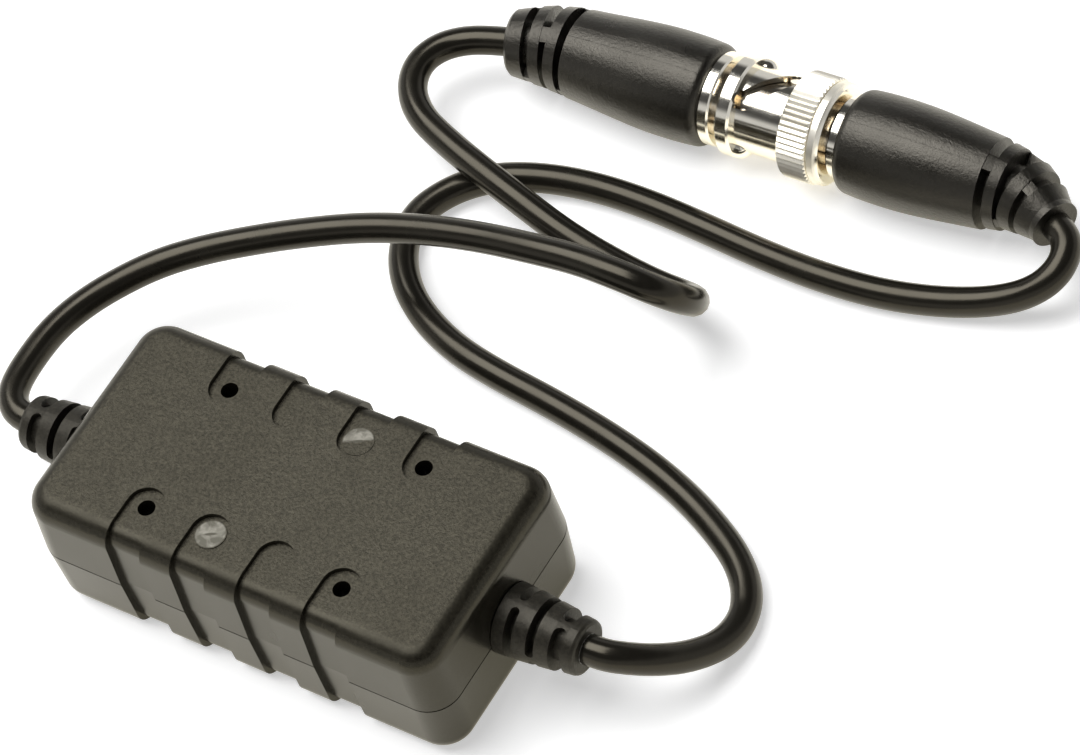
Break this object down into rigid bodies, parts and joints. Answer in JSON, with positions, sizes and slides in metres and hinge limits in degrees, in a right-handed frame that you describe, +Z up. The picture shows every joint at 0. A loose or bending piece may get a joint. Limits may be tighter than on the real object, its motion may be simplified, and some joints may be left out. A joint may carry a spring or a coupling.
{
  "type": "video ground loop isolator",
  "caption": "In-line isolator for a video line: a small dark moulded box round a transformer, a coax lead from each end, and the leads' bayonet jack and plug coupled together.",
  "frame": {"origin": "centre of the box's bottom face, on the table", "axes": "+X along the box towards the end whose lead carries the plug, +Z up, +Y towards the coupled pair"},
  "size_m": [0.1185, 0.1061, 0.0217],
  "materials": {
    "housing": "fine spark-eroded grain",
    "relief": "satin, moulded",
    "boot": "satin, moulded",
    "jacket": "smooth extruded",
    "nickel": "bright nickel plate, turned",
    "ferrule": "tinned, crimped",
    "contact": "thin gold plate",
    "spring": "rolled strip",
    "insulator": "turned",
    "gasket": "moulded",
    "coax_end": "stripped and tinned",
    "board": "solder mask on glass fibre",
    "ferrite": "sintered",
    "copper": "enamelled wire",
    "capacitor": "epoxy box",
    "screw_steel": "zinc plate"
  },
  "bodies": {
    "housing": {"top_shell": "housing", "bottom_shell": "housing", "screws": "screw_steel", "board": "board", "transformer_core": "ferrite", "primary_winding": "copper", "secondary_winding": "copper", "capacitors": "capacitor", "relief_left": "relief", "relief_right": "relief", "lead_a_end": "coax_end", "lead_b_end": "coax_end", "jack_boot": "boot", "jack_body": "nickel", "jack_insulator": "insulator", "jack_contact": "contact", "jack_ferrule": "ferrule", "lead_a_tip": "coax_end", "lead_a": "jacket", "lead_b": "jacket"},
    "plug": {"plug_boot": "boot", "plug_body": "nickel", "plug_ferrule": "nickel", "plug_gasket": "gasket", "thrust_washer": "nickel", "spring_ring": "spring", "plug_insulator": "insulator", "plug_pin": "contact", "lead_b_tip": "coax_end"},
    "nut": {"coupling_nut": "nickel"}
  },
  "joints": [
    {"name": "plug_withdraw", "type": "slide", "parent": "housing", "child": "plug", "axis": [0.9993, 0.0366, 0], "range_m": [0, 0.005], "deforming": ["lead_b"]},
    {"name": "nut_turn", "type": "hinge", "parent": "plug", "child": "nut", "pos_m": [0.0126, 0.0817, 0.0072], "axis": [-0.9993, -0.0366, 0], "range_deg": [0, 60]}
  ],
  "couplings": [
    {"joint": "plug_withdraw", "follows": "nut_turn", "m_per_rad": 0.0047746}
  ]
}
